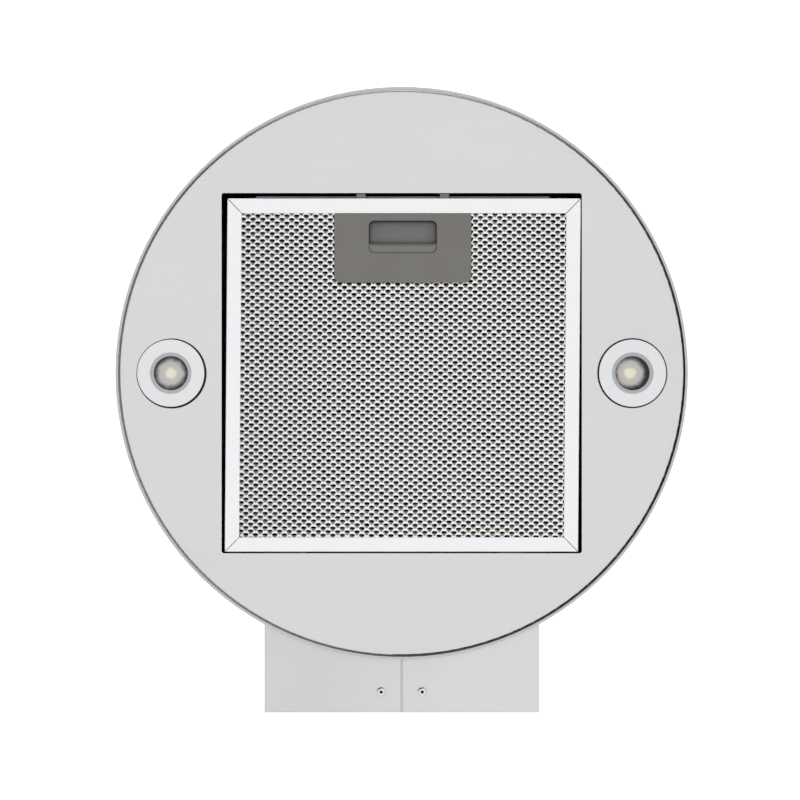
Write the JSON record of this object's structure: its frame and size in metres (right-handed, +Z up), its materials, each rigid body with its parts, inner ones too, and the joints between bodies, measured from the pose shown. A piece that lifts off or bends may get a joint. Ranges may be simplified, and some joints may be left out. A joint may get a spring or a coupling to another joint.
{
  "type": "wall mount range hood",
  "caption": "Round wall mount range hood: a telescoping steel tube over a flat intake panel with a hinged grease filter, lamps, a blower inside and a standoff box to the wall.",
  "frame": {"origin": "middle of the wall bolt pattern, on the wall plane", "axes": "+Z up along the tube, +Y into the wall, +X to the right as seen from the room"},
  "size_m": [0.3699, 0.4072, 0.69],
  "materials": {
    "stainless_tube": "brushed along the tube",
    "stainless_panel": "satin",
    "stainless_screw": "turned",
    "steel_button": "satin",
    "filter_aluminium": "mill finish",
    "handle_plastic": "fine grain",
    "spring_steel": "drawn",
    "lamp_metal": "satin",
    "lamp_lens": "frosted",
    "lamp_reflector": "metallised",
    "lamp_board": "white board with a warm diode",
    "sink_aluminium": "cast",
    "galvanised_steel": "galvanised",
    "zinc_fastener": "zinc plated",
    "motor_paint": "black",
    "shaft_steel": "ground",
    "wheel_plastic": "moulded",
    "black_plastic": "moulded",
    "capacitor_plastic": "moulded",
    "board_laminate": "laminate",
    "grommet_rubber": "moulded"
  },
  "bodies": {
    "hood": {"base_panel": "stainless_panel", "blower_screws": "zinc_fastener", "blower_scroll": "galvanised_steel", "blower_side_left": "galvanised_steel", "blower_side_right": "galvanised_steel", "body_tube": "stainless_tube", "cable_grommet": "grommet_rubber", "chimney_stops": "galvanised_steel", "collar_screws": "zinc_fastener", "control_board": "board_laminate", "control_housing": "black_plastic", "cover_screws": "stainless_screw", "damper_pin": "shaft_steel", "hanger_bolts": "zinc_fastener", "junction_box": "black_plastic", "lamp_left_bezel": "lamp_metal", "lamp_left_clips": "spring_steel", "lamp_left_heat_sink": "sink_aluminium", "lamp_left_led": "lamp_board", "lamp_left_lens": "lamp_lens", "lamp_left_reflector": "lamp_reflector", "lamp_right_bezel": "lamp_metal", "lamp_right_clips": "spring_steel", "lamp_right_heat_sink": "sink_aluminium", "lamp_right_led": "lamp_board", "lamp_right_lens": "lamp_lens", "lamp_right_reflector": "lamp_reflector", "motor": "motor_paint", "motor_bracket": "galvanised_steel", "motor_capacitor": "capacitor_plastic", "outlet_collar": "black_plastic", "panel_brackets": "galvanised_steel", "panel_screws": "zinc_fastener", "plenum_lid": "galvanised_steel", "rear_cover_left": "stainless_panel", "rear_cover_right": "stainless_panel", "spine_frame": "galvanised_steel", "wall_bracket": "galvanised_steel"},
    "filter": {"filter_lugs": "black_plastic", "filter_mesh_core": "filter_aluminium", "filter_mesh_lower": "filter_aluminium", "filter_mesh_upper": "filter_aluminium", "filter_rail_front": "filter_aluminium", "filter_rail_left": "filter_aluminium", "filter_rail_rear": "filter_aluminium", "filter_rail_right": "filter_aluminium", "handle_plate": "handle_plastic", "handle_housing": "handle_plastic", "latch_springs": "spring_steel"},
    "latch": {"latch_slider": "handle_plastic"},
    "blower_wheel": {"impeller": "wheel_plastic", "motor_shaft": "shaft_steel"},
    "chimney": {"chimney_tube": "stainless_tube"},
    "flap_front": {"damper_flap_front": "black_plastic"},
    "flap_rear": {"damper_flap_rear": "black_plastic"},
    "power_button": {"button_power": "steel_button"},
    "speed_1_button": {"button_speed_1": "steel_button"},
    "speed_2_button": {"button_speed_2": "steel_button"},
    "speed_3_button": {"button_speed_3": "steel_button"},
    "light_button": {"button_light": "steel_button"}
  },
  "joints": [
    {"name": "filter_swing", "type": "hinge", "parent": "hood", "child": "filter", "pos_m": [0, -0.1035, -0.213], "axis": [1, 0, 0], "range_deg": [0, 70]},
    {"name": "latch_slide", "type": "slide", "parent": "filter", "child": "latch", "axis": [0, 1, 0], "range_m": [-0.0025, 0.0035], "stiffness_N_per_m": 120, "deforming": ["latch_springs"]},
    {"name": "wheel_spin", "type": "hinge", "parent": "hood", "child": "blower_wheel", "pos_m": [0, -0.232, -0.001], "axis": [1, 0, 0], "continuous": true},
    {"name": "chimney_slide", "type": "slide", "parent": "hood", "child": "chimney", "axis": [0, 0, 1], "range_m": [0, 0.15]},
    {"name": "damper_rear_swing", "type": "hinge", "parent": "hood", "child": "flap_rear", "pos_m": [0, -0.1665, 0.1513], "axis": [1, 0, 0], "range_deg": [0, 80]},
    {"name": "damper_front_swing", "type": "hinge", "parent": "hood", "child": "flap_front", "pos_m": [0, -0.1665, 0.1513], "axis": [-1, 0, 0], "range_deg": [0, 80]},
    {"name": "power_press", "type": "slide", "parent": "hood", "child": "power_button", "axis": [0.2419, 0.9703, 0], "range_m": [0, 0.0015], "stiffness_N_per_m": 400},
    {"name": "speed_1_press", "type": "slide", "parent": "hood", "child": "speed_1_button", "axis": [0.1219, 0.9925, 0], "range_m": [0, 0.0015], "stiffness_N_per_m": 400},
    {"name": "speed_2_press", "type": "slide", "parent": "hood", "child": "speed_2_button", "axis": [0, 1, 0], "range_m": [0, 0.0015], "stiffness_N_per_m": 400},
    {"name": "speed_3_press", "type": "slide", "parent": "hood", "child": "speed_3_button", "axis": [-0.1219, 0.9925, 0], "range_m": [0, 0.0015], "stiffness_N_per_m": 400},
    {"name": "light_press", "type": "slide", "parent": "hood", "child": "light_button", "axis": [-0.2419, 0.9703, 0], "range_m": [0, 0.0015], "stiffness_N_per_m": 400}
  ]
}
